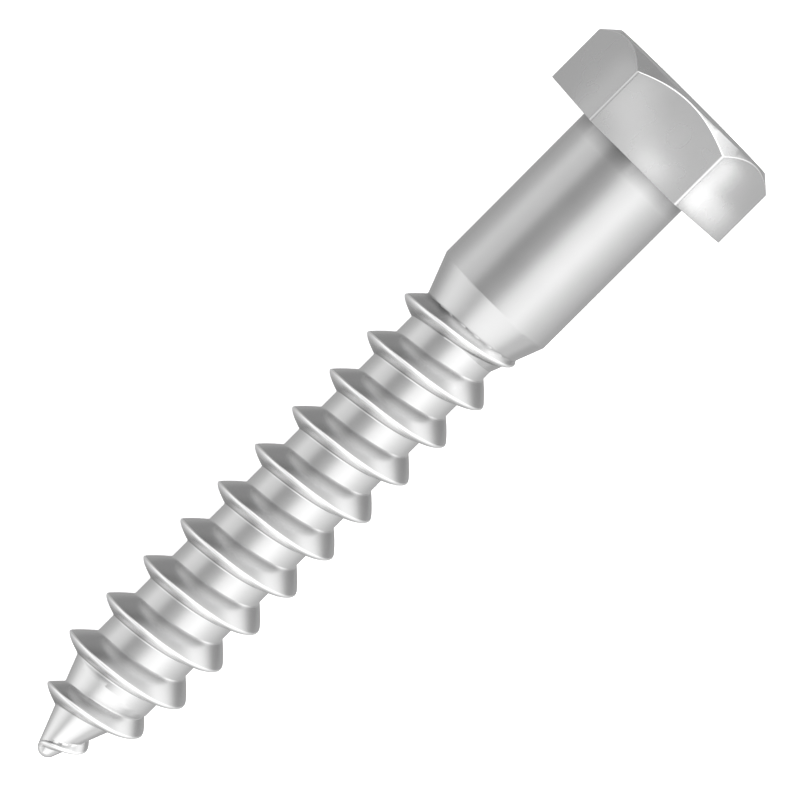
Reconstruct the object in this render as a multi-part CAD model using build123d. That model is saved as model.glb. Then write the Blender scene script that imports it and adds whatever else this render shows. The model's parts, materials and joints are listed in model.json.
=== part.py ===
"""Coach screw: a hexagon head, a plain shank and a coarse wood thread that ends in a gimlet point.

The screw is one forged and rolled piece of steel. It lies on a surface as it comes to rest: on
the lower edge of its head and on one crest of its thread near the point, so its axis rises a
little towards the head. Sizes are in millimetres and degrees. The screw is drawn along X, with
the bearing face of its head at x = 0 and its point at negative x, and is laid down at the end.
"""
from build123d import *
import math
import os

# Head
across_flats = 18.0
head_height = 7.2
chamfer_angle = 42.0
chamfer_inset = 0.1

# Shank, neck and core
length_under_head = 75.0
shank_diameter = 12.1
shank_length = 17.4
neck_angle = 21.0
core_diameter = 8.4

# Point: the core's cone and its blunt nose
point_angle = 21.0
nose_radius = 0.95

# Thread, right-handed, with a steeper flank on the side of the point
thread_diameter = 12.0
thread_pitch = 4.72
first_crest = 22.65
head_flank_angle = 44.0
tip_flank_angle = 28.0

# How the crest sinks into the neck, along the point and at its last turn
run_out_angle = 16.5
point_crest_angle = 24.5
thread_end_angle = 39.5
thread_end_margin = 0.45

# How deep the thread's foot is buried in the body, how finely its helix and flanks are drawn, and
# how often the search for a flank's foot halves its range
root_sink = 0.12
steps_per_turn = 16
strips_per_flank = 3
halvings = 30


def tan_deg(angle):
    """Tangent of an angle in degrees."""
    return math.tan(math.radians(angle))


# Radii and stations along the axis that follow from the sizes above
shank_radius = shank_diameter / 2
core_radius = core_diameter / 2
crest_radius = thread_diameter / 2
corner_radius = across_flats / math.sqrt(3)
neck_start = -shank_length
neck_end = neck_start - (shank_radius - core_radius) / tan_deg(neck_angle)
tip = -length_under_head
nose_centre = tip + nose_radius
cone_apex = nose_centre - nose_radius / math.sin(math.radians(point_angle))
point_start = cone_apex + core_radius / tan_deg(point_angle)
thread_end = tip + thread_end_margin


def neck_radius(x):
    """Radius of the neck's cone, carried on past both of its ends."""
    return shank_radius - (neck_start - x) * tan_deg(neck_angle)


def point_radius(x):
    """Radius of the point's cone, carried on past both of its ends."""
    return (x - cone_apex) * tan_deg(point_angle)


def body_radius(x):
    """Radius of the core with its neck and point, without the thread."""
    return min(max(neck_radius(x), core_radius), point_radius(x))


def run_out_radius(x):
    """Radius of the crest where it sinks into the neck."""
    return crest_radius - (x + first_crest) * tan_deg(run_out_angle)


def crest_height(x):
    """Radius of the thread's crest at a station along the axis."""
    along_point = crest_radius - (point_start - x) * tan_deg(point_crest_angle)
    last_turn = body_radius(thread_end) - root_sink + (x - thread_end) * tan_deg(thread_end_angle)
    return min(crest_radius, run_out_radius(x), along_point, last_turn)


def turn_at(x):
    """How many turns the crest has made, from the first crest on the +Y side, at a station."""
    return (x + first_crest) / thread_pitch


def flank_depth(x, crest, slope):
    """How far below the crest a flank that leaves it at x meets the surface of the body."""
    shallow, deep = 0.0, crest
    for _ in range(halvings):
        middle = (shallow + deep) / 2
        if crest - middle > body_radius(x + slope * middle):
            shallow = middle
        else:
            deep = middle
    return shallow


def flank(x, crest, slope):
    """Corners down one flank in even strips, from the crest to the foot inside the body."""
    foot = flank_depth(x, crest, slope) + root_sink
    depths = [foot * strip / strips_per_flank for strip in range(strips_per_flank + 1)]
    return [(x + slope * depth, crest - depth) for depth in depths]


def thread_section(turn):
    """Corners of the thread's section at a place along the helix, each as x and radius."""
    x = turn * thread_pitch - first_crest
    crest = crest_height(x)
    head_side = flank(x, crest, tan_deg(head_flank_angle))
    tip_side = flank(x, crest, -tan_deg(tip_flank_angle))
    return head_side[::-1] + tip_side[1:]


def on_helix(turn, corner):
    """The point in space of a section's corner."""
    x, radius = corner
    angle = 2 * math.pi * turn
    return (x, radius * math.cos(angle), radius * math.sin(angle))


def thread_ends():
    """Where the thread starts inside the neck and ends inside the point, in turns of the helix."""
    slopes = tan_deg(neck_angle) + tan_deg(run_out_angle)
    thread_start = neck_start + (run_out_radius(neck_start) - shank_radius + 2 * root_sink) / slopes
    return turn_at(thread_start), turn_at(thread_end)


def evenly(first, last, count):
    """The places that divide a stretch of the helix into equal steps."""
    return [first + (last - first) * step / count for step in range(count + 1)]


def make_turn(first, last):
    """One turn of the thread: ruled strips between helical edges, closed at the foot and ends."""
    turns = evenly(first, last, steps_per_turn)
    steps = [float(step) for step in range(steps_per_turn + 1)]
    sections = [thread_section(turn) for turn in turns]
    edges = []
    for corner in range(len(sections[0])):
        points = [on_helix(turn, section[corner]) for turn, section in zip(turns, sections)]
        edges.append(Edge.make_spline(points, parameters=steps))
    neighbours = zip(edges, edges[1:] + edges[:1])
    faces = [Face.make_surface_from_curves(edge, neighbour) for edge, neighbour in neighbours]
    for end in (0, 1):
        faces.append(Face(Wire.make_polygon([edge.position_at(end) for edge in edges], close=True)))
    return Solid(Shell(faces))


def make_thread():
    """The raised thread as turns that join end to end, ready to be fused with the body."""
    first, last = thread_ends()
    cuts = evenly(first, last, math.ceil(first - last))
    return [make_turn(start, end) for start, end in zip(cuts, cuts[1:])]


def make_head():
    """The hexagon, with a flat below and above, chamfered round its top."""
    hexagon = extrude(Plane.YZ * RegularPolygon(corner_radius, 6), head_height)
    top_radius = across_flats / 2 - chamfer_inset
    blank_radius = corner_radius + chamfer_inset
    chamfer_end = head_height - (blank_radius - top_radius) * tan_deg(chamfer_angle)
    blank = Polyline(
        (0, 0),
        (0, blank_radius),
        (chamfer_end, blank_radius),
        (head_height, top_radius),
        (head_height, 0),
        close=True,
    )
    return hexagon & revolve(make_face(blank), Axis.X)


def make_body():
    """The shank, neck, core and rounded point, turned from one profile."""
    half_angle = math.radians(point_angle)
    mid_angle = (math.pi / 2 + half_angle) / 2
    nose = [
        (nose_centre - nose_radius * math.sin(angle), nose_radius * math.cos(angle))
        for angle in (half_angle, mid_angle)
    ]
    straight = Polyline(
        (tip, 0),
        (0, 0),
        (0, shank_radius),
        (neck_start, shank_radius),
        (neck_end, core_radius),
        (point_start, core_radius),
        nose[0],
    )
    profile = make_face(straight + ThreePointArc(nose[0], nose[1], (tip, 0)))
    return revolve(profile, Axis.X)


def make_screw():
    """The whole screw along X."""
    return make_head() + make_body() + make_thread()


def rest_tilt():
    """Angle by which the axis rises towards the head when the head's edge and a crest touch down."""
    first, last = thread_ends()
    tilts = []
    for turn in evenly(first, last, math.ceil((first - last) * steps_per_turn)):
        x = turn * thread_pitch - first_crest
        drop = across_flats / 2 + on_helix(turn, (x, crest_height(x)))[2]
        tilts.append(math.degrees(math.atan2(drop, -x)))
    return min(tilts)


def lay_down(screw):
    """Turn the screw to its rest and put the middle of its underside at the origin."""
    laid = Rot(0, -rest_tilt(), 0) * screw
    box = laid.bounding_box()
    return Pos(-(box.min.X + box.max.X) / 2, 0, -box.min.Z) * laid


coach_screw = lay_down(make_screw())
print("rest tilt", round(rest_tilt(), 3), "degrees")
os.makedirs("parts", exist_ok=True)
export_step(coach_screw, "parts/coach_screw.step")
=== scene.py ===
"""Visual model of a coach screw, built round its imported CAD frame.

The screw is shaped in its own coordinates, in millimetres: x runs along its axis, with the
bearing face of the head at 0, the head on the plus side and the point on the minus side. It
is then laid where the frame says that the screw lies, in metres, and dressed in bright satin
steel. A studio with a pale floor, a tent of soft light and the camera goes round it.
"""

from __future__ import annotations

import json
import logging
import math
from contextlib import contextmanager
from dataclasses import dataclass, field
from enum import Enum
from typing import Callable, Iterator, Sequence

import bmesh
import bpy
import numpy as np
from mathutils import Matrix, Vector

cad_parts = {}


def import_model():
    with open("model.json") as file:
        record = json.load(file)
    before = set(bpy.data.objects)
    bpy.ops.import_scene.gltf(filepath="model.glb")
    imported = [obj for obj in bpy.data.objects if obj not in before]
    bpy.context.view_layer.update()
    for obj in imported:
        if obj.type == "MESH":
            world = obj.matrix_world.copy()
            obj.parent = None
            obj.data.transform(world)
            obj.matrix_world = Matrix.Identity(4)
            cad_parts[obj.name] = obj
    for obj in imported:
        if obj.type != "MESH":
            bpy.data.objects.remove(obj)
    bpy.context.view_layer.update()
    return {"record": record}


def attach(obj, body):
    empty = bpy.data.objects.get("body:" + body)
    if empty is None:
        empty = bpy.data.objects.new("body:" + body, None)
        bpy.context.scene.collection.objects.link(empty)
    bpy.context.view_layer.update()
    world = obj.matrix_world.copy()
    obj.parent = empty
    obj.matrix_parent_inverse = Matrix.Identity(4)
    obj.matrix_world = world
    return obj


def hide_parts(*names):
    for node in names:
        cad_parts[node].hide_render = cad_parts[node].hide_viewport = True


LOG = logging.getLogger("coach_screw")

MM = 0.001
SLACK = 1e-3  # How far off its place a corner may be, in millimetres.
FULL_TURN = 2.0 * math.pi
CAD_NODE = "coach_screw"
# Name of the attribute with edge wear, painted highlights on edges and crests, and painted shade
# as negative values.
WEAR_AND_PAINTED_LIGHT = "edge_wear_and_painted_light"
NOISE_RANGE = (0.3, 0.7)
CHAMFER_SLOPES = (0.3, 0.95)


def tan_deg(angle: float) -> float:
    """Return the tangent of an angle in degrees."""
    return math.tan(math.radians(angle))


def smooth_max(first: np.ndarray, second: np.ndarray, softness: float) -> np.ndarray:
    """Blend two heights into the higher one, with a rounded change from one to the other.

    Args:
        first: One set of heights.
        second: The other set of heights.
        softness: Twice the height that the rounding adds where the two are equal.

    Returns:
        The blended heights.
    """
    gap = first - second
    return (first + second + np.sqrt(gap * gap + softness * softness)) / 2.0


def select_only(piece: bpy.types.Object) -> None:
    """Select one piece alone and make it the active one.

    Args:
        piece: The piece to select.
    """
    bpy.ops.object.select_all(action="DESELECT")
    piece.select_set(True)
    bpy.context.view_layer.objects.active = piece


def apply_modifier(piece: bpy.types.Object, kind: str, **settings: object) -> None:
    """Add a modifier to a piece, set it up and apply it.

    Args:
        piece: The piece that the modifier changes.
        kind: Blender's name of the kind of modifier.
        settings: Values for the modifier's own properties.
    """
    select_only(piece)
    modifier = piece.modifiers.new(kind.lower(), kind)
    for name, value in settings.items():
        setattr(modifier, name, value)
    bpy.ops.object.modifier_apply(modifier=modifier.name)


@contextmanager
def editing(piece: bpy.types.Object) -> Iterator[None]:
    """Open one piece in edit mode and close it again afterwards.

    Args:
        piece: The piece to edit.
    """
    select_only(piece)
    bpy.ops.object.mode_set(mode="EDIT")
    bpy.ops.mesh.select_mode(type="VERT")
    try:
        yield
    finally:
        bpy.ops.object.mode_set(mode="OBJECT")


def select_edges(piece: bpy.types.Object, wanted: Callable[[bmesh.types.BMEdge], bool]) -> None:
    """Select the edges of a piece in edit mode that pass a test, and nothing else.

    Args:
        piece: The piece, open in edit mode.
        wanted: The test that an edge has to pass.
    """
    bpy.ops.mesh.select_mode(type="EDGE")
    bpy.ops.mesh.select_all(action="DESELECT")
    mesh = bmesh.from_edit_mesh(piece.data)
    for edge in mesh.edges:
        edge.select = wanted(edge)
    bmesh.update_edit_mesh(piece.data)


def select_rims(piece: bpy.types.Object, x: float) -> None:
    """Select every open rim of a piece in edit mode that lies across its axis at one place.

    Args:
        piece: The piece, open in edit mode.
        x: The place along the axis.
    """

    def is_rim(edge: bmesh.types.BMEdge) -> bool:
        """Tell whether an edge is open and lies at the place."""
        return edge.is_boundary and all(abs(corner.co.x - x) < SLACK for corner in edge.verts)

    select_edges(piece, is_rim)


def extrude_ring(start: float, end: float, scale: float = 1.0) -> None:
    """Extrude the selected ring along the axis and widen or narrow it.

    Args:
        start: Where the ring is along the axis.
        end: Where the new ring goes.
        scale: Radius of the new ring as a share of the old one's.
    """
    bpy.ops.mesh.extrude_region_move(TRANSFORM_OT_translate={"value": (end - start, 0.0, 0.0)})
    if scale != 1.0:
        bpy.ops.transform.resize(value=(1.0, scale, scale), center_override=(end, 0.0, 0.0))


def corner_places(piece: bpy.types.Object) -> np.ndarray:
    """Return the corners of a piece's mesh as rows of x, y and z.

    Args:
        piece: The piece.

    Returns:
        One row for each corner.
    """
    flat = np.empty(len(piece.data.vertices) * 3)
    piece.data.vertices.foreach_get("co", flat)
    return flat.reshape(-1, 3)


def grey(level: float) -> tuple[float, float, float, float]:
    """Return a grey as a colour."""
    return (level, level, level, 1.0)


def add_area_light(name: str, size: tuple[float, float], watts: float) -> bpy.types.Object:
    """Add a rectangular light.

    Args:
        name: Name of the light.
        size: Its length and width in metres.
        watts: Its power.

    Returns:
        The light, at the origin.
    """
    lamp = bpy.data.lights.new(name, "AREA")
    lamp.shape = "RECTANGLE"
    lamp.size, lamp.size_y = size
    lamp.energy = watts
    hung = bpy.data.objects.new(name, lamp)
    bpy.context.scene.collection.objects.link(hung)
    return hung


@dataclass(frozen=True)
class Placement:
    """Where the screw lies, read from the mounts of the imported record.

    Attributes:
        drive_top: Middle of the top of the head, in metres.
        toward_head: Direction of the axis, out of the top of the head.
    """

    drive_top: Vector
    toward_head: Vector

    @classmethod
    def from_record(cls, record: dict) -> Placement:
        """Read the place of the screw's axis from the record's mounts.

        Args:
            record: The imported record.

        Returns:
            The place of the screw.
        """
        mounts = {mount["name"]: mount for mount in record["mounts"]}
        drive = mounts["hex_drive"]
        return cls(Vector(drive["pos_m"]), Vector(drive["axis"]).normalized())

    def matrix(self, head_height: float) -> Matrix:
        """Return the matrix from the screw's own millimetres to its place in metres.

        Args:
            head_height: Height of the head, in millimetres.

        Returns:
            The matrix that lays the screw down.
        """
        seat = self.drive_top - self.toward_head * head_height * MM
        across = Vector((0.0, 1.0, 0.0))
        turned = Matrix((self.toward_head, across, self.toward_head.cross(across))).transposed()
        return Matrix.Translation(seat) @ turned.to_4x4() @ Matrix.Scale(MM, 4)


@dataclass
class Head:
    """The forged hexagon head, in millimetres.

    Attributes:
        across_flats: Width over two opposite sides.
        height: Height from the bearing face to the top.
        chamfer_angle: Slope of the chamfer round the top, in degrees.
        chamfer_inset: How far the flat top stays inside the sides.
        corner_round: Width of the rounding of the six upright edges, on each side.
        edge_round: Width of the rounding along the chamfer.
        rim_share: Width of the rounding round the bearing face and round the flat top, as a share
            of edge_round. The chamfer is too narrow beside the flats for more.
        upright_wear_and_highlight: How far an upright edge is rubbed bright and painted with a
            highlight, as a share of corner_round.
        rim_wear_and_highlight: How far the other edges are rubbed bright and painted with a
            highlight, as a share of edge_round.
        segments: Number of facets across each rounding.
        facets: Number of facets round the chamfer.
    """

    across_flats: float = 18.0
    height: float = 7.2
    chamfer_angle: float = 42.0
    chamfer_inset: float = 0.1
    corner_round: float = 0.2
    edge_round: float = 0.09
    rim_share: float = 0.35
    upright_wear_and_highlight: float = 0.85
    rim_wear_and_highlight: float = 0.7
    segments: int = 3
    facets: int = 96

    @property
    def corner_radius(self) -> float:
        """Distance of the hexagon's corners from the axis."""
        return self.across_flats / math.sqrt(3.0)

    @property
    def top_radius(self) -> float:
        """Radius of the flat top inside the chamfer."""
        return self.across_flats / 2.0 - self.chamfer_inset

    def build(self) -> bpy.types.Object:
        """Shape the hexagon, cut its chamfer, round its edges and open its bearing face.

        Returns:
            The head as a mesh that is open below, where the shank goes on.
        """
        bpy.ops.object.select_all(action="DESELECT")
        bpy.ops.mesh.primitive_cylinder_add(
            vertices=6,
            radius=self.corner_radius,
            depth=self.height,
            location=(self.height / 2.0, 0.0, 0.0),
            rotation=(0.0, math.pi / 2.0, 0.0),
        )
        head = bpy.context.object
        head.name = "hexagon_head"
        bpy.ops.object.transform_apply(location=True, rotation=True, scale=True)
        self._turn_corners_sideways(head)
        self._round_upright_edges(head)
        blank = self._chamfer_blank()
        apply_modifier(head, "BOOLEAN", operation="INTERSECT", solver="EXACT", object=blank)
        bpy.data.objects.remove(blank)
        self._weigh_edges(head)
        apply_modifier(
            head,
            "BEVEL",
            width=self.edge_round,
            segments=self.segments,
            limit_method="WEIGHT",
            use_clamp_overlap=False,
        )
        self._open_bearing_face(head)
        return head

    def _turn_corners_sideways(self, head: bpy.types.Object) -> None:
        """Turn the hexagon so that a flat side faces up and one faces down.

        Args:
            head: The head, in its own millimetres.
        """
        highest = max(corner.co.z for corner in head.data.vertices)
        if highest > self.across_flats / 2.0 + self.edge_round:
            head.rotation_euler = (math.radians(30.0), 0.0, 0.0)
            select_only(head)
            bpy.ops.object.transform_apply(location=False, rotation=True, scale=False)

    def _round_upright_edges(self, head: bpy.types.Object) -> None:
        """Round the six edges that run along the axis.

        Args:
            head: The head, in its own millimetres.
        """

        def runs_along(edge: bmesh.types.BMEdge) -> bool:
            """Tell whether an edge runs along the axis."""
            first, second = edge.verts
            return abs(first.co.x - second.co.x) > self.height / 2.0

        with editing(head):
            select_edges(head, runs_along)
            bpy.ops.mesh.bevel(offset=self.corner_round, segments=self.segments, affect="EDGES")

    def _weigh_edges(self, head: bpy.types.Object) -> None:
        """Say how widely each edge of the chamfer and of the two end faces is to be rounded.

        Args:
            head: The head, in its own millimetres.
        """
        least_fold = math.radians(25.0)
        mesh = bmesh.new()
        mesh.from_mesh(head.data)
        weights = mesh.edges.layers.float.new("bevel_weight_edge")
        for edge in mesh.edges:
            if edge.calc_face_angle(0.0) > least_fold:
                places = [corner.co.x for corner in edge.verts]
                at_end_face = max(places) < SLACK or min(places) > self.height - SLACK
                edge[weights] = self.rim_share if at_end_face else 1.0
        mesh.to_mesh(head.data)
        mesh.free()

    def _open_bearing_face(self, head: bpy.types.Object) -> None:
        """Take the flat bearing face out, so that only its rim is left.

        Args:
            head: The head, in its own millimetres.
        """
        with editing(head):
            bpy.ops.mesh.select_mode(type="FACE")
            bpy.ops.mesh.select_all(action="DESELECT")
            mesh = bmesh.from_edit_mesh(head.data)
            for face in mesh.faces:
                face.select = all(abs(corner.co.x) < SLACK for corner in face.verts)
            bmesh.update_edit_mesh(head.data)
            bpy.ops.mesh.delete(type="FACE")

    def _chamfer_blank(self) -> bpy.types.Object:
        """Shape the turned blank whose cone cuts the corners of the hexagon.

        Returns:
            The blank as a closed mesh, a little longer than the head below it.
        """
        overlap = 1.0
        outer = self.corner_radius + overlap
        cone_start = self.height - (outer - self.top_radius) * tan_deg(self.chamfer_angle)
        bpy.ops.object.select_all(action="DESELECT")
        bpy.ops.mesh.primitive_circle_add(
            vertices=self.facets,
            radius=outer,
            fill_type="NGON",
            location=(-overlap, 0.0, 0.0),
            rotation=(0.0, math.pi / 2.0, 0.0),
        )
        blank = bpy.context.object
        bpy.ops.object.transform_apply(location=True, rotation=True, scale=True)
        with editing(blank):
            bpy.ops.mesh.select_all(action="SELECT")
            extrude_ring(-overlap, cone_start)
            extrude_ring(cone_start, self.height, self.top_radius / outer)
            bpy.ops.mesh.select_all(action="SELECT")
            bpy.ops.mesh.normals_make_consistent(inside=False)
        return blank

    def wear_and_painted_light(self, points: np.ndarray) -> np.ndarray:
        """Tell how near the points of the head are to its rounded edges.

        Args:
            points: Corners of the mesh in the screw's own millimetres.

        Returns:
            Wear and painted highlight from 0, on the faces, to 1, in the middle of an edge.
        """
        x, y, z = points.T
        sides = []
        for side in range(6):
            angle = math.radians(30.0 + 60.0 * side)
            sides.append(self.across_flats / 2.0 - y * math.cos(angle) - z * math.sin(angle))
        cone = self.height + (self.top_radius - np.hypot(y, z)) * tan_deg(self.chamfer_angle) - x
        slant = cone * math.cos(math.radians(self.chamfer_angle))
        # Rubbed edges: wear with a painted highlight along the upright edges and the chamfer's
        # rims.
        upright = self._second_smallest(sides) / (self.upright_wear_and_highlight * self.corner_round)
        rim = self._second_smallest([*sides, slant]) / (self.rim_wear_and_highlight * self.edge_round)
        return np.clip(1.0 - np.minimum(upright, rim), 0.0, 1.0)

    @staticmethod
    def _second_smallest(gaps: Sequence[np.ndarray]) -> np.ndarray:
        """Return how far each point is from the second nearest of some faces."""
        return np.sort(np.abs(np.array(gaps)), axis=0)[1]


@dataclass
class ThreadedShank:
    """The plain shank, its neck and the threaded core with its gimlet point, in millimetres.

    Attributes:
        length: Length under the head.
        shank_diameter: Diameter of the plain shank.
        shank_length: Length of the plain shank.
        neck_angle: Slope of the neck's cone, in degrees.
        core_diameter: Diameter at the foot of the thread.
        point_angle: Slope of the point's cone.
        nose_radius: Radius of the blunt nose.
        thread_diameter: Diameter over the crests.
        pitch: Distance from crest to crest.
        first_crest: Where the crest first passes the plus-y side, under the bearing face.
        head_flank_angle: Slope of the flank on the side of the head, from crest to foot.
        head_flank_start: Fall of that flank beside the crest, from where it bulges and steepens.
        tip_flank_angle: Slope of the flank on the side of the point, from crest to foot.
        tip_flank_start: Fall of that flank beside the crest.
        crest_wear: How far the crest is rubbed down.
        run_out_angle: How fast the crest sinks into the neck.
        point_crest_angle: How fast the crest falls along the point.
        thread_end_angle: How fast the last turn dies out.
        thread_end_margin: Length of the nose without a thread.
        root_sink: How deep the thread is buried where it ends.
        crest_round: Softness of the crest, whose top stays at the crest's own radius.
        root_round: Twice how far the rounding stands proud at the thread's foot.
        head_side_wear_and_highlight: How far down the crest is rubbed bright and painted with a
            highlight on the side of the head.
        tip_side_wear_and_highlight: The same on the side of the point.
        painted_shade_reach: How far the painted shade in the corner under the head reaches along
            the shank.
        columns: Number of mesh columns round the axis.
    """

    length: float = 75.0
    shank_diameter: float = 12.1
    shank_length: float = 17.4
    neck_angle: float = 21.0
    core_diameter: float = 8.4
    point_angle: float = 21.0
    nose_radius: float = 0.95
    thread_diameter: float = 12.0
    pitch: float = 4.72
    first_crest: float = 22.65
    head_flank_angle: float = 44.0
    head_flank_start: float = 0.85
    tip_flank_angle: float = 28.0
    tip_flank_start: float = 0.4
    crest_wear: float = 0.01
    run_out_angle: float = 16.5
    point_crest_angle: float = 24.5
    thread_end_angle: float = 39.5
    thread_end_margin: float = 0.45
    root_sink: float = 0.12
    crest_round: float = 0.1
    root_round: float = 0.05
    head_side_wear_and_highlight: float = 0.1
    tip_side_wear_and_highlight: float = 0.9
    # Painted shade: the shank is painted darker this far under the head.
    painted_shade_reach: float = 1.6
    columns: int = 144

    @property
    def core_radius(self) -> float:
        """Radius at the foot of the thread."""
        return self.core_diameter / 2.0

    @property
    def neck_end(self) -> float:
        """Where the neck's cone meets the core."""
        fall = (self.shank_diameter - self.core_diameter) / 2.0
        return -self.shank_length - fall / tan_deg(self.neck_angle)

    @property
    def nose_centre(self) -> float:
        """Middle of the round nose."""
        return self.nose_radius - self.length

    @property
    def cone_apex(self) -> float:
        """Where the point's cone would end without its nose."""
        return self.nose_centre - self.nose_radius / math.sin(math.radians(self.point_angle))

    @property
    def point_start(self) -> float:
        """Where the core starts to taper to the point."""
        return self.cone_apex + self.core_radius / tan_deg(self.point_angle)

    @property
    def nose_start(self) -> float:
        """Where the point's cone passes into the round nose."""
        return self.nose_centre - self.nose_radius * math.sin(math.radians(self.point_angle))

    @property
    def flank_widths(self) -> tuple[float, float]:
        """Widths of a full thread's flanks along the axis, on the head's side and the point's."""
        depth = self.thread_diameter / 2.0 - self.core_radius
        return depth * tan_deg(self.head_flank_angle), depth * tan_deg(self.tip_flank_angle)

    def body_radius(self, x: np.ndarray) -> np.ndarray:
        """Return the radius of the screw without its thread at places along the axis.

        Args:
            x: The places, in millimetres above the bearing face.

        Returns:
            The radii.
        """
        neck = self.shank_diameter / 2.0 + (x + self.shank_length) * tan_deg(self.neck_angle)
        point = (x - self.cone_apex) * tan_deg(self.point_angle)
        return np.minimum(np.maximum(neck, self.core_radius), point)

    def crest_radius(self, x: np.ndarray) -> np.ndarray:
        """Return the radius of the sharp crest at places along the axis.

        Args:
            x: The places, in millimetres above the bearing face.

        Returns:
            The radii.
        """
        full = self.thread_diameter / 2.0 - self.crest_wear
        run_out = full - (x + self.first_crest) * tan_deg(self.run_out_angle)
        along_point = full - (self.point_start - x) * tan_deg(self.point_crest_angle)
        end = self.thread_end_margin - self.length
        foot = float(self.body_radius(np.array(end))) - self.root_sink
        last_turn = foot + (x - end) * tan_deg(self.thread_end_angle)
        heights = np.minimum(np.minimum(run_out, along_point), last_turn)
        return np.minimum(heights, full)

    def nearest_crest(self, points: np.ndarray) -> np.ndarray:
        """Find where the crest of the thread's own turn passes beside each point.

        Args:
            points: Corners of the mesh in the screw's own millimetres.

        Returns:
            The crest's place along the axis, beside each of the points.
        """
        head_side, tip_side = self.flank_widths
        reach = (self.pitch + head_side - tip_side) / 2.0
        share = (np.arctan2(points[:, 2], points[:, 1]) / FULL_TURN) % 1.0
        turns = np.ceil((points[:, 0] + self.first_crest - reach) / self.pitch - share)
        return (turns + share) * self.pitch - self.first_crest

    @staticmethod
    def flank_fall(away: np.ndarray, angle: float, start: float, width: float) -> np.ndarray:
        """Return how far a bulging flank falls below the crest.

        Args:
            away: Distances from the crest along the axis, less than 0 on the other flank's side.
            angle: Slope of the flank's chord, from crest to foot.
            start: Fall beside the crest.
            width: Width of the flank along the axis.

        Returns:
            The depths below the crest.
        """
        steepening = 1.0 / tan_deg(angle) - start
        return start * away + steepening * away * np.abs(away) / width

    def ridge_radius(self, points: np.ndarray) -> np.ndarray:
        """Return the radius that the thread's ridge has beside each point, without the body.

        Args:
            points: Corners of the mesh in the screw's own millimetres.

        Returns:
            The radii. Far from the ridge they fall below the body.
        """
        crest_place = self.nearest_crest(points)
        offset = points[:, 0] - crest_place
        head_width, tip_width = self.flank_widths
        head_side = self.flank_fall(
            offset, self.head_flank_angle, self.head_flank_start, head_width
        )
        tip_side = self.flank_fall(-offset, self.tip_flank_angle, self.tip_flank_start, tip_width)
        fall = smooth_max(head_side, tip_side, self.crest_round) - self.crest_round / 2.0
        return self.crest_radius(crest_place) - np.maximum(fall, 0.0)

    def surface_radius(self, points: np.ndarray) -> np.ndarray:
        """Return the radius that the surface has beside each point, thread and body together."""
        ridge = self.ridge_radius(points)
        return smooth_max(self.body_radius(points[:, 0]), ridge, self.root_round)

    def row_places(self) -> list[float]:
        """Lay out the rows of the mesh over one pitch, close together on each rounding.

        Returns:
            Places along the axis from one crest to the next, towards the head.
        """
        head_side, tip_side = self.flank_widths
        rounding = 0.3
        stretches = (
            (0.0, rounding, 5),
            (rounding, head_side - rounding, 10),
            (head_side - rounding, head_side + rounding, 5),
            (head_side + rounding, self.pitch - tip_side - rounding, 3),
            (self.pitch - tip_side - rounding, self.pitch - tip_side + rounding, 6),
            (self.pitch - tip_side + rounding, self.pitch - rounding, 2),
            (self.pitch - rounding, self.pitch, 6),
        )
        rows = [0.0]
        for start, end, count in stretches:
            rows += [start + (end - start) * step / count for step in range(1, count + 1)]
        return rows

    def build(self) -> bpy.types.Object:
        """Wind the thread, cut it to length, and add the shank and the nose.

        Returns:
            The shank as a mesh that is open at its upper end, where the head goes on.
        """
        piece = self._wind()
        self._cut_to_length(piece)
        self._shape_thread(piece)
        self._draw_shank(piece)
        self._close_nose(piece)
        return piece

    def _wind(self) -> bpy.types.Object:
        """Wind one pitch of rows round the axis into a long smooth helical tube.

        Returns:
            The tube, open at both ends and a little too long.
        """
        bpy.ops.object.select_all(action="DESELECT")
        bpy.ops.mesh.primitive_plane_add(size=1.0)
        piece = bpy.context.object
        piece.name = "threaded_shank"
        turns = math.ceil(self.length / self.pitch) + 2
        start = -self.first_crest - self.pitch * (turns - 4)
        radius = self.thread_diameter / 2.0
        rows = self.row_places()
        with editing(piece):
            bpy.ops.mesh.select_all(action="SELECT")
            bpy.ops.mesh.merge(type="CENTER")
            bpy.ops.transform.translate(value=(start, radius, 0.0))
            for row, following in zip(rows, rows[1:]):
                step = {"value": (following - row, 0.0, 0.0)}
                bpy.ops.mesh.extrude_vertices_move(TRANSFORM_OT_translate=step)
        apply_modifier(
            piece,
            "SCREW",
            axis="X",
            angle=FULL_TURN,
            screw_offset=self.pitch,
            iterations=turns,
            steps=self.columns,
            render_steps=self.columns,
        )
        with editing(piece):
            bpy.ops.mesh.select_all(action="SELECT")
            bpy.ops.mesh.remove_doubles(threshold=SLACK)
        return piece

    def _cut_to_length(self, piece: bpy.types.Object) -> None:
        """Cut the tube off at the shank and the nose, and ring it where the core's slope changes.

        Corners that are almost on a cut are moved onto it first, so that no slivers are left.

        Args:
            piece: The tube, in its own millimetres.
        """
        cuts = (
            (-self.shank_length, False, True),
            (self.neck_end, False, False),
            (self.point_start, False, False),
            (self.nose_start, True, False),
        )
        reach = self.pitch / 250.0
        for corner in piece.data.vertices:
            for place, _, _ in cuts:
                if abs(corner.co.x - place) < reach:
                    corner.co.x = place
        with editing(piece):
            for place, below, above in cuts:
                bpy.ops.mesh.select_all(action="SELECT")
                bpy.ops.mesh.bisect(
                    plane_co=(place, 0.0, 0.0),
                    plane_no=(1.0, 0.0, 0.0),
                    clear_inner=below,
                    clear_outer=above,
                    threshold=1e-4,
                )

    def _shape_thread(self, piece: bpy.types.Object) -> None:
        """Move every corner of the tube in or out to the thread's surface.

        Args:
            piece: The shank, in its own millimetres.
        """
        points = corner_places(piece)
        scale = self.surface_radius(points) / np.hypot(points[:, 1], points[:, 2])
        points[:, 1] *= scale
        points[:, 2] *= scale
        piece.data.vertices.foreach_set("co", points.ravel())
        piece.data.update()

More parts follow.
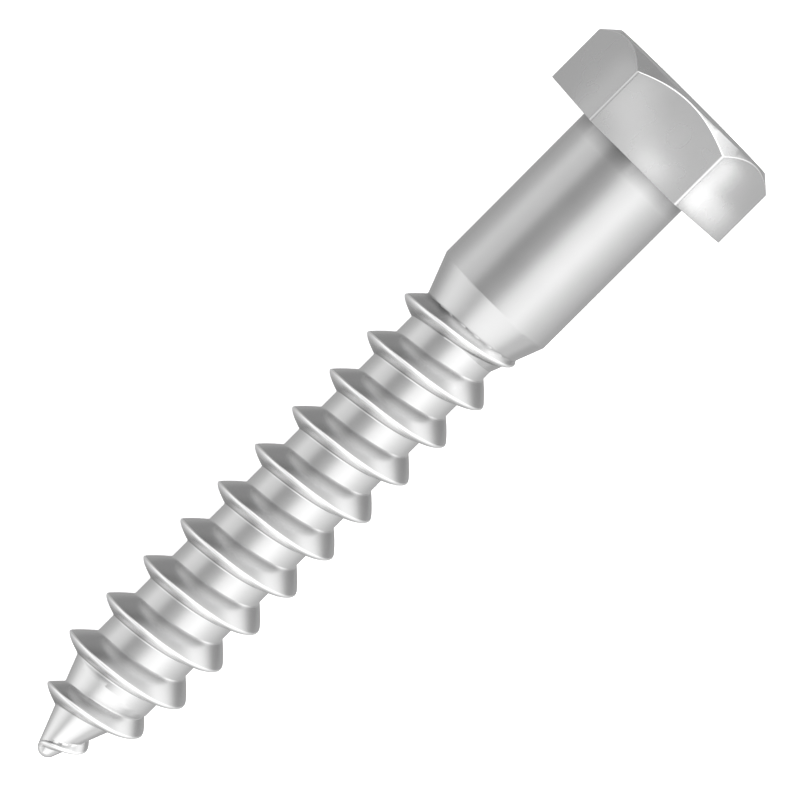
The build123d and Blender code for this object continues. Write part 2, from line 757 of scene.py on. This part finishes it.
    def _draw_shank(self, piece: bpy.types.Object) -> None:
        """Draw the shank up from the neck to the bearing face of the head.

        Args:
            piece: The shank, in its own millimetres.
        """
        soft_edge = 0.12
        with editing(piece):
            select_rims(piece, -self.shank_length)
            extrude_ring(-self.shank_length, soft_edge - self.shank_length)
            # The ring below the head bounds the painted shade under it.
            extrude_ring(soft_edge - self.shank_length, -self.painted_shade_reach)
            extrude_ring(-self.painted_shade_reach, -soft_edge)
            extrude_ring(-soft_edge, 0.0)

    def _close_nose(self, piece: bpy.types.Object) -> None:
        """Draw the round nose in from the point's cone to its pole.

        Args:
            piece: The shank, in its own millimetres.
        """
        steps = 8
        angles = [
            math.radians(self.point_angle + (90.0 - self.point_angle) * step / steps)
            for step in range(steps + 1)
        ]
        with editing(piece):
            select_rims(piece, self.nose_start)
            for angle, following in zip(angles[:-1], angles[1:-1]):
                start = self.nose_centre - self.nose_radius * math.sin(angle)
                end = self.nose_centre - self.nose_radius * math.sin(following)
                extrude_ring(start, end, math.cos(following) / math.cos(angle))
            start = self.nose_centre - self.nose_radius * math.sin(angles[-2])
            extrude_ring(start, -self.length, 0.01)
            bpy.ops.mesh.merge(type="CENTER")
            bpy.ops.mesh.select_all(action="SELECT")
            bpy.ops.mesh.normals_make_consistent(inside=False)

    def wear_and_painted_light(self, points: np.ndarray) -> np.ndarray:
        """Tell how near the points are to the thread's crest, which is worn and painted with a
        highlight, or to a corner that is painted with shade.

        Args:
            points: Corners of the mesh in the screw's own millimetres.

        Returns:
            Wear and painted highlight from 0, on the flanks and the core, to 1, on the crest, and
            down to -1 where shade is painted: under the head, along the foot of the flank on the
            side of the point, and where the thread meets the neck.
        """
        clear_of_body = 0.25
        x = points[:, 0]
        radius = np.hypot(points[:, 1], points[:, 2])
        crest_place = self.nearest_crest(points)
        crest = self.crest_radius(crest_place)
        # Crest: wear and a painted highlight, which reaches far down the flank on the side of the
        # point.
        fade = np.where(x > crest_place, self.head_side_wear_and_highlight, self.tip_side_wear_and_highlight)
        near = np.clip(1.0 - (crest - radius) / fade, 0.0, 1.0)
        stands_out = np.clip((radius - self.body_radius(x)) / clear_of_body, 0.0, 1.0)
        # Painted shade: negative values darken the corner under the head and the foot of the
        # flanks.
        under_head = np.clip(1.0 + x / self.painted_shade_reach, 0.0, 1.0)
        in_corner = (x < crest_place) | (x > self.neck_end)
        foot = np.where(in_corner, self._foot_painted_shade(points, crest), 0.0)
        return np.where(x < -self.shank_length, near * stands_out - foot, -under_head)

    def _foot_painted_shade(self, points: np.ndarray, crest: np.ndarray) -> np.ndarray:
        """Tell how near the points are to the line where the ridge meets the body.

        Args:
            points: Corners of the mesh in the screw's own millimetres.
            crest: Radius of the crest beside each of them.

        Returns:
            Painted shade from 0 to 1, on that line. It fades out half way up the flank, soon
            beside it on the body, and wherever the ridge is low.
        """
        reach_on_body = 0.25
        full_depth = 0.8
        body = self.body_radius(points[:, 0])
        gap = self.ridge_radius(points) - body
        depth = np.maximum(crest - body, 0.01)
        fade = np.where(gap > 0.0, depth / 2.0, reach_on_body)
        near = np.clip(1.0 - np.abs(gap) / fade, 0.0, 1.0)
        return near * np.clip(depth / full_depth, 0.0, 1.0)


class Region(Enum):
    """The parts of the screw's skin, by the way they were made; the chamfer and the thread's core
    are apart also so that their greys can be painted lighter. The value is the slot's number.
    """

    HEAD = 0
    CHAMFER = 1
    SHANK = 2
    THREAD = 3
    CORE = 4


@dataclass(frozen=True)
class Band:
    """One stop of the light tent, counted round the screw's axis.

    Attributes:
        angle: Degrees from straight up, positive towards the key light on the minus-y side.
        level: Brightness there.
    """

    angle: float
    level: float


@dataclass(frozen=True)
class NearCard:
    """A small light close to the head that only shows as a reflection on one of its flat sides.

    Attributes:
        side: Which side, in steps of 60 degrees from the one on top towards minus y.
        along: Where its reflection lies on that side, in millimetres above the bearing face.
        across: Where it lies across that side, in millimetres from its middle, away from plus y.
        length: Length of the card along the axis, in millimetres.
        width: Width of the card, in millimetres.
        level: Brightness.
    """

    side: int
    along: float
    across: float
    length: float
    width: float
    level: float

    @property
    def facing(self) -> Vector:
        """Direction that the side of the head faces, in the screw's own coordinates."""
        angle = math.radians(60.0 * self.side)
        return Vector((0.0, -math.sin(angle), math.cos(angle)))

    def reflected_spot(self, across_flats: float) -> Vector:
        """Return the spot on the side of the head where the reflection lies, in millimetres."""
        away = self.facing.cross(Vector((1.0, 0.0, 0.0))) * -self.across
        return Vector((self.along, 0.0, 0.0)) + self.facing * across_flats / 2.0 + away

    def matrix(self, view: Vector, across_flats: float, distance: float) -> Matrix:
        """Find where the card hangs to be seen in the head.

        Args:
            view: Direction from the screw to the camera, in the screw's own coordinates.
            across_flats: Width over two opposite sides of the head.
            distance: How far the card is from the head, in millimetres.

        Returns:
            The card's place in the screw's own millimetres. It shines along its minus z.
        """
        back = 2.0 * self.facing.dot(view) * self.facing - view
        axis = Vector((1.0, 0.0, 0.0))
        along = (axis - back * axis.dot(back)).normalized()
        spot = self.reflected_spot(across_flats)
        turned = Matrix((along, back.cross(along), back)).transposed()
        return Matrix.Translation(spot + back * distance) @ turned.to_4x4()


class NodeGraph:
    """A short way to add, set and link the nodes of one material or world."""

    def __init__(self, tree: bpy.types.NodeTree) -> None:
        """Take over a node tree and empty it."""
        self.tree = tree
        self.tree.nodes.clear()

    def add(self, kind: str, **settings: object) -> bpy.types.Node:
        """Add a node and set its properties.

        Args:
            kind: Blender's name of the kind of node, without ShaderNode in front.
            settings: Values for the node's own properties.

        Returns:
            The new node.
        """
        node = self.tree.nodes.new("ShaderNode" + kind)
        for name, value in settings.items():
            setattr(node, name, value)
        return node

    def feed(self, socket: bpy.types.NodeSocket, value: object) -> None:
        """Link a socket to another one, or set its value.

        Args:
            socket: The socket that takes it in.
            value: A socket, a number or a colour.
        """
        if isinstance(value, bpy.types.NodeSocket):
            self.tree.links.new(value, socket)
        else:
            socket.default_value = value

    def math(self, operation: str, *values: object) -> bpy.types.NodeSocket:
        """Add a math node.

        Args:
            operation: Blender's name of the operation.
            values: Sockets or numbers that it works on.

        Returns:
            The socket with the result.
        """
        node = self.add("Math", operation=operation)
        for socket, value in zip(node.inputs, values):
            self.feed(socket, value)
        return node.outputs[0]

    def map_range(
        self,
        value: bpy.types.NodeSocket,
        source: tuple[float, float],
        target: tuple[float, float],
        smooth: bool = False,
    ) -> bpy.types.NodeSocket:
        """Map a value from one range to another and hold it inside.

        Args:
            value: The socket to map.
            source: Lowest and highest value that comes in.
            target: What these two become.
            smooth: Whether the change eases in and out.

        Returns:
            The socket with the mapped value.
        """
        kind = "SMOOTHSTEP" if smooth else "LINEAR"
        node = self.add("MapRange", interpolation_type=kind)
        for name, number in zip(("From Min", "From Max", "To Min", "To Max"), source + target):
            node.inputs[name].default_value = number
        self.feed(node.inputs["Value"], value)
        return node.outputs["Result"]


@dataclass(frozen=True)
class SteelFinish:
    """A bright satin steel skin with the marks that its making left, with painted highlights on
    its edges and crests and painted shade in its corners.

    Attributes:
        name: Name of the material.
        shade: Grey of the clean metal.
        roughness: How dull the clean metal is.
        mottle: How much the plating's gloss varies from place to place.
        grain: Height of the fine grain in metres.
        grain_scale: How fine the grain is along the axis and across it, per metre.
        worn_and_highlight_shade: Grey of the rubbed edges, painted lighter as a highlight.
        worn_roughness: How dull the rubbed edges are.
        painted_shade_grey: Grey of the painted shade in corners and under the head.
        cloud_scale: How fine the mottle is, per metre.
        shade_range: How much the grey varies with the mottle, as a share, up and down.
    """

    name: str
    shade: float
    roughness: float
    mottle: float
    grain: float
    grain_scale: tuple[float, float]
    worn_and_highlight_shade: float = 0.95
    worn_roughness: float = 0.34
    painted_shade_grey: float = 0.36
    cloud_scale: float = 260.0
    shade_range: float = 0.015

    def material(self, tilt: float) -> bpy.types.Material:
        """Make the material.

        Args:
            tilt: Angle in radians by which the screw's axis rises towards its head.

        Returns:
            A material that reads Object coordinates and the attribute that holds rubbed edges,
            painted highlights and painted shade.
        """
        material = bpy.data.materials.new(self.name)
        material.use_nodes = True
        graph = NodeGraph(material.node_tree)
        output = graph.add("OutputMaterial")
        shader = graph.add("BsdfPrincipled")
        shader.inputs["Metallic"].default_value = 1.0
        graph.feed(output.inputs["Surface"], shader.outputs[0])
        place = self._place_along_axis(graph, tilt)
        wear_and_painted_light = graph.add("Attribute", attribute_name=WEAR_AND_PAINTED_LIGHT).outputs["Fac"]
        cloud = self._noise(graph, place, (self.cloud_scale, self.cloud_scale), 2.0)
        fine = self._noise(graph, place, self.grain_scale, 3.0)
        darkest = self.shade * (1.0 - self.shade_range)
        lightest = self.shade * (1.0 + self.shade_range)
        clean = graph.map_range(cloud, NOISE_RANGE, (darkest, lightest))
        # Edges and crests are painted lighter here as a highlight, beside their wear.
        rubbed_and_highlit = self._mix_shades(graph, wear_and_painted_light, clean, grey(self.worn_and_highlight_shade))
        # Negative values paint shade into the corner under the head and along the feet of the
        # thread.
        painted_shade_share = graph.math("MULTIPLY", wear_and_painted_light, -1.0)
        shade = self._mix_shades(graph, painted_shade_share, rubbed_and_highlit, grey(self.painted_shade_grey))
        graph.feed(shader.inputs["Base Color"], shade)
        gloss_range = (self.roughness - self.mottle, self.roughness + self.mottle)
        dull = graph.map_range(cloud, NOISE_RANGE, gloss_range)
        worn = graph.add("Mix", data_type="FLOAT", clamp_factor=True)
        graph.feed(worn.inputs["Factor"], wear_and_painted_light)
        graph.feed(worn.inputs["A"], dull)
        graph.feed(worn.inputs["B"], self.worn_roughness)
        graph.feed(shader.inputs["Roughness"], worn.outputs["Result"])
        bump = graph.add("Bump")
        bump.inputs["Strength"].default_value = 1.0
        bump.inputs["Distance"].default_value = self.grain
        graph.feed(bump.inputs["Height"], fine)
        graph.feed(shader.inputs["Normal"], bump.outputs["Normal"])
        return material

    @staticmethod
    def _mix_shades(
        graph: NodeGraph, share: bpy.types.NodeSocket, first: object, second: object
    ) -> bpy.types.NodeSocket:
        """Mix two shades.

        Args:
            graph: The material's nodes.
            share: How much of the second shade there is, held between 0 and 1.
            first: The shade where the share is 0.
            second: The shade where the share is 1.

        Returns:
            The socket with the mixed shade.
        """
        mixed = graph.add("Mix", data_type="RGBA", clamp_factor=True)
        graph.feed(mixed.inputs["Factor"], share)
        graph.feed(mixed.inputs["A"], first)
        graph.feed(mixed.inputs["B"], second)
        return mixed.outputs["Result"]

    @staticmethod
    def _place_along_axis(graph: NodeGraph, tilt: float) -> bpy.types.NodeSocket:
        """Return Object coordinates turned so that x runs along the screw.

        Args:
            graph: The material's nodes.
            tilt: Angle in radians by which the screw's axis rises towards its head.

        Returns:
            The socket with the turned coordinates.
        """
        coordinates = graph.add("TexCoord")
        turned = graph.add("Mapping")
        turned.inputs["Rotation"].default_value = (0.0, tilt, 0.0)
        graph.feed(turned.inputs["Vector"], coordinates.outputs["Object"])
        return turned.outputs["Vector"]

    @staticmethod
    def _noise(
        graph: NodeGraph, place: bpy.types.NodeSocket, scale: tuple[float, float], detail: float
    ) -> bpy.types.NodeSocket:
        """Add a noise that can be drawn out along the screw.

        Args:
            graph: The material's nodes.
            place: Where the noise is read.
            scale: How fine it is along the axis and across it, per metre.
            detail: How many finer layers it has.

        Returns:
            The socket with the noise, mostly inside NOISE_RANGE.
        """
        stretched = graph.add("Mapping")
        stretched.inputs["Scale"].default_value = (scale[0], scale[1], scale[1])
        graph.feed(stretched.inputs["Vector"], place)
        noise = graph.add("TexNoise")
        noise.inputs["Scale"].default_value = 1.0
        noise.inputs["Detail"].default_value = detail
        graph.feed(noise.inputs["Vector"], stretched.outputs["Vector"])
        return noise.outputs["Fac"]


FINISHES = {
    Region.HEAD: SteelFinish("forged_head", 0.59, 0.27, 0.01, 2e-6, (6000.0, 6000.0)),
    # The chamfer's grey is lighter as turned metal and painted lighter still for the light that
    # falls on it.
    Region.CHAMFER: SteelFinish("turned_chamfer_painted_lighter", 0.78, 0.27, 0.01, 2e-6, (6000.0, 6000.0)),
    Region.SHANK: SteelFinish("drawn_shank", 0.62, 0.25, 0.01, 2e-6, (900.0, 9000.0)),
    Region.THREAD: SteelFinish(
        "rolled_thread", 0.60, 0.25, 0.01, 2e-6, (5000.0, 3000.0), painted_shade_grey=0.3
    ),
    # The core's grey is painted lighter than the flanks' for the light that falls on it between
    # the turns.
    Region.CORE: SteelFinish("rolled_core_painted_lighter", 0.72, 0.25, 0.01, 2e-6, (5000.0, 3000.0)),
}


@dataclass
class CoachScrew:
    """The whole screw: its head and threaded shank as one closed piece.

    Attributes:
        place: Where the frame says that the screw lies.
        head: The hexagon head.
        shank: The shank with its thread and point.
    """

    place: Placement
    head: Head = field(default_factory=Head)
    shank: ThreadedShank = field(default_factory=ThreadedShank)

    def build(self) -> bpy.types.Object:
        """Build, join, dress and place the screw.

        Returns:
            The finished piece.
        """
        screw = self._join(self.shank.build(), self.head.build())
        screw.name = "coach_screw_steel"
        self._mark_wear_and_painted_light(screw)
        self._dress(screw)
        select_only(screw)
        bpy.ops.object.shade_smooth_by_angle(angle=math.radians(28.0))
        self._lay_down(screw)
        apply_modifier(screw, "WEIGHTED_NORMAL", keep_sharp=True)
        return screw

    def _join(self, shank: bpy.types.Object, head: bpy.types.Object) -> bpy.types.Object:
        """Join the head to the shank with a flat bearing face between their open rims.

        Args:
            shank: The shank, open at its upper end.
            head: The head, open below.

        Returns:
            The shank's object, which now holds the whole screw as a closed mesh.
        """
        select_only(shank)
        head.select_set(True)
        bpy.ops.object.join()
        with editing(shank):
            self._span_bearing_face(shank)
            bpy.ops.mesh.select_all(action="SELECT")
            bpy.ops.mesh.normals_make_consistent(inside=False)
        return shank

    def _span_bearing_face(self, screw: bpy.types.Object) -> None:
        """Span the bearing face from rim to rim, in two parts that meet at two of its corners.

        The parts are laid corner by corner, because no operator makes them the same way each time.

        Args:
            screw: The screw in edit mode, open between its head and its shank.
        """
        start = 180.0 / self.shank.columns
        middle = (self.shank.shank_diameter + self.head.across_flats) / 4.0

        def turn(corner: bmesh.types.BMVert) -> float:
            """Return how far round the axis a corner is, in degrees from the start."""
            return (math.degrees(math.atan2(corner.co.z, corner.co.y)) - start) % 360.0

        mesh = bmesh.from_edit_mesh(screw.data)
        corners = sorted((corner for corner in mesh.verts if corner.is_boundary), key=turn)
        ring = [corner for corner in corners if corner.co.yz.length < middle]
        rim = [corner for corner in reversed(corners) if corner.co.yz.length > middle]
        sixth = len(ring) // 6 - 1
        rounding = len(rim) // 6
        mesh.faces.new([*rim[: 1 - rounding], *ring[sixth:]])
        mesh.faces.new([ring[sixth], *rim[-rounding:], rim[0], ring[-1], *ring[:sixth]])
        bmesh.update_edit_mesh(screw.data)

    def _mark_wear_and_painted_light(self, screw: bpy.types.Object) -> None:
        """Store how rubbed each corner of the mesh is, with painted highlights and painted shade,
        for the finish to read.

        Args:
            screw: The whole screw.
        """
        points = corner_places(screw)
        clear_of_shank = self.shank.shank_diameter / 2.0 + 0.5
        on_head = points[:, 0] > -0.01
        beyond_shank = np.hypot(points[:, 1], points[:, 2]) > clear_of_shank
        wear_and_painted_light = np.where(on_head & beyond_shank, self.head.wear_and_painted_light(points), self.shank.wear_and_painted_light(points))
        attribute = screw.data.attributes.new(WEAR_AND_PAINTED_LIGHT, "FLOAT", "POINT")
        attribute.data.foreach_set("value", wear_and_painted_light)

    def _dress(self, screw: bpy.types.Object) -> None:
        """Give each region of the screw its finish.

        Args:
            screw: The whole screw.
        """
        tilt = math.atan2(self.place.toward_head.z, self.place.toward_head.x)
        mesh = screw.data
        mesh.materials.clear()
        for region in Region:
            mesh.materials.append(FINISHES[region].material(tilt))
        slots = [self._region(face).value for face in mesh.polygons]
        mesh.polygons.foreach_set("material_index", slots)

    def _region(self, face: bpy.types.MeshPolygon) -> Region:
        """Tell by a face's place and slope which part of the skin it belongs to.

        Args:
            face: A face of the screw's mesh.

        Returns:
            The region.
        """
        ridge_foot = 0.08
        flattest, steepest = CHAMFER_SLOPES
        x, y, z = face.center
        if x > -1e-4:
            return Region.CHAMFER if flattest < face.normal.x < steepest else Region.HEAD
        if x > -self.shank.shank_length:
            return Region.SHANK
        above_body = math.hypot(y, z) - float(self.shank.body_radius(np.array(x)))
        # The core gets its own grey, painted lighter than the flanks'.
        if x < self.shank.neck_end and above_body < ridge_foot:
            return Region.CORE
        return Region.THREAD

    def _lay_down(self, screw: bpy.types.Object) -> None:
        """Move the mesh from the screw's own millimetres to its place in the frame.

        Args:
            screw: The whole screw.
        """
        screw.matrix_world = self.place.matrix(self.head.height)
        select_only(screw)
        bpy.ops.object.transform_apply(location=True, rotation=True, scale=True)


@dataclass
class Studio:
    """The pale floor, the tent of soft light and the camera.

    Attributes:
        place: Where the frame says that the screw lies.
        head: The screw's head.
        floor_size: Diameter of the floor, in metres.
        floor_shade: Grey of the floor.
        floor_glow: How strongly the floor glows by itself, so that it comes out nearly white.
        camera_distance: Distance of the camera from what it looks at, in metres.
        camera_lean: How far the camera leans towards the head, in degrees.
        aim_under_head: Where the camera aims along the axis, in millimetres under the head.
        aim_aside: How far to the minus-y side it aims, in millimetres.
        lens: Focal length of the camera, in millimetres.
        middle_belt: The tent's brightness square to the screw, all round its axis.
        head_belt: Its brightness on the side of the head.
        point_belt: Its brightness on the side of the point, above the horizon.
        below_left: Brightness on the side of the point below the horizon, by degrees below it, on
            the plus-y side.
        below_right: The same on the minus-y side.
        brightest: The brightness that the bands' levels are stored as shares of.
        rim_light: How much brighter the tent is above the head, where only rounded edges see it.
        card_distance: How far the near cards hang from the head, in millimetres.
        card_power: Power of a card of level 1, in watts per square metre.
        cards: Small lights that shade the flat sides of the head.
        key_size: Length and width of the key light, in metres.
        key_watts: Its power.
        key_place: Where it hangs, in metres. It shines towards the origin.
    """

    place: Placement
    head: Head
    floor_size: float = 4.0
    floor_shade: float = 0.9
    floor_glow: float = 0.6
    camera_distance: float = 0.427
    camera_lean: float = 6.1
    aim_under_head: float = 29.65
    aim_aside: float = 0.31
    lens: float = 217.4
    middle_belt: Sequence[Band] = (
        Band(-180.0, 0.45),
        Band(-140.0, 0.50),
        Band(-108.0, 0.65),
        Band(-85.0, 0.95),
        Band(-52.0, 0.75),
        Band(-38.0, 0.40),
        Band(-26.0, 0.40),
        Band(-4.0, 0.55),
        Band(18.0, 1.20),
        Band(48.0, 1.45),
        Band(84.0, 1.00),
        Band(140.0, 0.55),
    )
    head_belt: Sequence[Band] = (
        Band(-180.0, 0.35),
        Band(-120.0, 0.38),
        Band(-90.0, 0.20),
        Band(-60.0, 0.58),
        Band(0.0, 0.82),
        Band(60.0, 0.85),
        Band(90.0, 1.65),
        Band(116.0, 1.45),
        Band(133.0, 0.45),
        Band(150.0, 0.35),
    )
    point_belt: Sequence[Band] = (
        Band(-90.0, 1.28),
        Band(-60.0, 1.05),
        Band(-30.0, 0.66),
        Band(0.0, 1.40),
        Band(30.0, 1.50),
        Band(60.0, 1.45),
        Band(90.0, 1.15),
    )
    below_left: Sequence[Band] = (
        Band(10.0, 1.10),
        Band(27.0, 0.70),
        Band(49.0, 0.55),
        Band(70.0, 0.25),
    )
    below_right: Sequence[Band] = (
        Band(10.0, 0.80),
        Band(27.0, 0.85),
        Band(40.0, 0.50),
        Band(70.0, 0.30),
    )
    brightest: float = 3.0
    rim_light: float = 2.5
    card_distance: float = 12.0
    card_power: float = 4.0
    cards: Sequence[NearCard] = (
        NearCard(1, 4.2, -3.9, 6.0, 1.3, 1.7),
        NearCard(1, 2.4, 0.0, 2.8, 2.6, 0.7),
        NearCard(0, 4.8, -4.2, 4.8, 2.8, 0.3),
        NearCard(0, 2.8, -1.4, 4.0, 2.8, 0.25),
        NearCard(0, 1.7, 1.4, 1.8, 2.8, 1.1),
        NearCard(-1, 3.6, 3.9, 7.2, 1.3, 0.35),
    )
    key_size: tuple[float, float] = (0.9, 0.5)
    key_watts: float = 2.0
    key_place: tuple[float, float, float] = (0.0, -0.45, 0.75)

    @property
    def view(self) -> Vector:
        """Direction from the screw to the camera, in the screw's own coordinates."""
        lean = math.radians(self.camera_lean)
        return Vector((math.sin(lean), 0.0, math.cos(lean)))

    def build(self) -> None:
        """Set up the floor, the light and the camera."""
        self._add_floor()
        self._hang_tent()
        self._hang_cards()
        self._add_key_light()
        self._add_camera()
        bpy.context.scene.view_settings.view_transform = "Standard"

    def _add_floor(self) -> None:
        """Lay the pale floor that the screw lies on."""
        bpy.ops.object.select_all(action="DESELECT")
        bpy.ops.mesh.primitive_circle_add(
            vertices=96, radius=self.floor_size / 2.0, fill_type="NGON"
        )
        floor = bpy.context.object
        floor.name = "floor"
        floor.visible_glossy = False
        floor.visible_shadow = False
        material = bpy.data.materials.new("pale_floor")
        material.use_nodes = True
        graph = NodeGraph(material.node_tree)
        output = graph.add("OutputMaterial")
        shader = graph.add("BsdfPrincipled")
        shader.inputs["Base Color"].default_value = grey(self.floor_shade)
        shader.inputs["Roughness"].default_value = 0.9
        shader.inputs["Specular IOR Level"].default_value = 0.0
        shader.inputs["Emission Color"].default_value = grey(1.0)
        shader.inputs["Emission Strength"].default_value = self.floor_glow
        graph.feed(output.inputs["Surface"], shader.outputs[0])
        floor.data.materials.append(material)

    def _hang_tent(self) -> None:
        """Surround the screw with three belts of soft light, one beside the other."""
        world = bpy.data.worlds.new("light_tent")
        bpy.context.scene.world = world
        world.use_nodes = True
        graph = NodeGraph(world.node_tree)
        output = graph.add("OutputWorld")
        background = graph.add("Background")
        graph.feed(output.inputs["Surface"], background.outputs[0])
        direction = graph.add("TexCoord").outputs["Generated"]
        parts = graph.add("SeparateXYZ")
        graph.feed(parts.inputs[0], direction)
        sideways = graph.math("MULTIPLY", parts.outputs["Y"], -1.0)
        angle = graph.math("ARCTAN2", sideways, parts.outputs["Z"])
        share = graph.map_range(angle, (-math.pi, math.pi), (0.0, 1.0))
        sink = graph.math("ARCSINE", graph.math("MULTIPLY", parts.outputs["Z"], -1.0))
        depth = graph.map_range(sink, (0.0, math.pi / 2.0), (0.0, 1.0))
        left = self._ramp(graph, depth, 90.0, self.below_left)
        right = self._ramp(graph, depth, 90.0, self.below_right)
        below = self._blend(graph, parts.outputs["Y"], (0.3, -0.3), left, right)
        above = self._ramp(graph, share, 360.0, self._closed(self.point_belt), 180.0)
        point = self._blend(graph, parts.outputs["Z"], (0.1, -0.1), above, below)
        head = self._ramp(graph, share, 360.0, self._closed(self.head_belt), 180.0)
        middle = self._ramp(graph, share, 360.0, self._closed(self.middle_belt), 180.0)
        light = self._blend(graph, parts.outputs["X"], (0.25, 0.45), middle, head)
        light = self._blend(graph, parts.outputs["X"], (-0.25, -0.45), light, point)
        light = self._lift_above_head(graph, parts, light)
        graph.feed(background.inputs["Color"], light)
        graph.feed(background.inputs["Strength"], self.brightest)

    def _lift_above_head(
        self, graph: NodeGraph, parts: bpy.types.Node, light: bpy.types.NodeSocket
    ) -> bpy.types.NodeSocket:
        """Brighten the tent on the slant above the head.

        Args:
            graph: The world's nodes.
            parts: The node with the parts of the direction.
            light: The light of the belts.

        Returns:
            The socket with the light of the whole tent.
        """
        enters = graph.map_range(parts.outputs["X"], (0.15, 0.35), (0.0, 1.0), smooth=True)
        leaves = graph.map_range(parts.outputs["X"], (0.78, 0.92), (1.0, 0.0), smooth=True)
        high = graph.map_range(parts.outputs["Z"], (0.2, 0.45), (0.0, 1.0), smooth=True)
        share = graph.math("MULTIPLY", graph.math("MULTIPLY", enters, leaves), high)
        gain = graph.map_range(share, (0.0, 1.0), (1.0, self.rim_light))
        return graph.math("MULTIPLY", light, gain)

    @staticmethod
    def _closed(bands: Sequence[Band]) -> list[Band]:
        """Give a belt the same level at both its ends, straight down, so that it has no seam.

        Args:
            bands: The belt's bands.

        Returns:
            The bands with one more at each end.
        """
        first, last = bands[0], bands[-1]
        share = (180.0 - last.angle) / (first.angle + 360.0 - last.angle)
        level = last.level + (first.level - last.level) * share
        return [Band(-180.0, level), *bands, Band(180.0, level)]

    def _ramp(
        self,
        graph: NodeGraph,
        share: bpy.types.NodeSocket,
        span: float,
        bands: Sequence[Band],
        start: float = 0.0,
    ) -> bpy.types.NodeSocket:
        """Add a run of bands that fade into one another.

        Args:
            graph: The world's nodes.
            share: Where along the run a direction lies, from 0 to 1.
            span: How many degrees the run covers.
            bands: The run's stops.
            start: How many degrees before angle 0 the run starts.

        Returns:
            The socket with the run's brightness as a share of the brightest light.
        """
        ramp = graph.add("ValToRGB")
        graph.feed(ramp.inputs["Fac"], share)
        stops = ramp.color_ramp.elements
        while len(stops) > 1:
            stops.remove(stops[-1])
        for number, band in enumerate(bands):
            position = (band.angle + start) / span
            stop = stops[0] if number == 0 else stops.new(position)
            stop.position = position
            stop.color = grey(band.level / self.brightest)
        return ramp.outputs["Color"]

    @staticmethod
    def _blend(
        graph: NodeGraph,
        place: bpy.types.NodeSocket,
        limits: tuple[float, float],
        first: bpy.types.NodeSocket,
        second: bpy.types.NodeSocket,
    ) -> bpy.types.NodeSocket:
        """Pass softly from one light to another.

        Args:
            graph: The world's nodes.
            place: The part of the direction that decides.
            limits: Where the first light starts to give way, and where only the second is left.
            first: The first light.
            second: The second light.

        Returns:
            The socket with the blended light.
        """
        mixed = graph.add("Mix", data_type="RGBA")
        toward = graph.map_range(place, limits, (0.0, 1.0), smooth=True)
        graph.feed(mixed.inputs["Factor"], toward)
        graph.feed(mixed.inputs["A"], first)
        graph.feed(mixed.inputs["B"], second)
        return mixed.outputs["Result"]

    def _hang_cards(self) -> None:
        """Hang the near cards, which show in the metal only."""
        to_metres = self.place.matrix(self.head.height)
        for number, card in enumerate(self.cards, start=1):
            length, width = card.length * MM, card.width * MM
            watts = card.level * length * width * self.card_power
            hung = add_area_light(f"near_card_{number}", (length, width), watts)
            hung.visible_camera = False
            hung.visible_diffuse = False
            local = card.matrix(self.view, self.head.across_flats, self.card_distance)
            where = to_metres @ local
            hung.matrix_world = (
                Matrix.Translation(where.translation) @ where.to_3x3().normalized().to_4x4()
            )

    def _add_key_light(self) -> None:
        """Hang the large soft key light on the minus-y side."""
        key = add_area_light("key_softbox", self.key_size, self.key_watts)
        key.visible_glossy = False
        key.location = self.key_place
        key.rotation_mode = "QUATERNION"
        key.rotation_quaternion = key.location.to_track_quat("Z", "Y")

    def _add_camera(self) -> None:
        """Look down on the screw, with its head at the upper right of the picture."""
        to_metres = self.place.matrix(self.head.height)
        turned = to_metres.to_3x3().normalized()
        backwards = turned @ self.view
        toward_head = turned @ Vector((self.view.z, 0.0, -self.view.x))
        aside = Vector((0.0, -1.0, 0.0))
        aim = to_metres @ Vector((-self.aim_under_head, -self.aim_aside, 0.0))
        right = (toward_head + aside).normalized()
        up = (toward_head - aside).normalized()
        data = bpy.data.cameras.new("camera")
        data.lens = self.lens
        data.clip_start = 0.01
        camera = bpy.data.objects.new("camera", data)
        bpy.context.scene.collection.objects.link(camera)
        camera.matrix_world = (
            Matrix.Translation(aim + backwards * self.camera_distance)
            @ Matrix((right, up, backwards)).transposed().to_4x4()
        )
        bpy.context.scene.camera = camera


def report_piece(piece: bpy.types.Object) -> None:
    """Log how large a piece's mesh is and whether it is closed.

    Args:
        piece: The piece.
    """
    mesh = bmesh.new()
    mesh.from_mesh(piece.data)
    open_edges = sum(1 for edge in mesh.edges if not edge.is_manifold)
    volume = mesh.calc_volume(signed=True) / MM**3
    mesh.free()
    LOG.info(
        "%s: %d faces, %d open edges, %.1f cubic millimetres",
        piece.name,
        len(piece.data.polygons),
        open_edges,
        volume,
    )


def main() -> None:
    """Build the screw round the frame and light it."""
    logging.basicConfig(level=logging.INFO, format="%(name)s %(message)s")
    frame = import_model()
    place = Placement.from_record(frame["record"])
    model = CoachScrew(place)
    screw = model.build()
    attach(screw, "root")
    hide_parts(CAD_NODE)
    report_piece(screw)
    Studio(place, model.head).build()


if __name__ == "__main__":
    main()
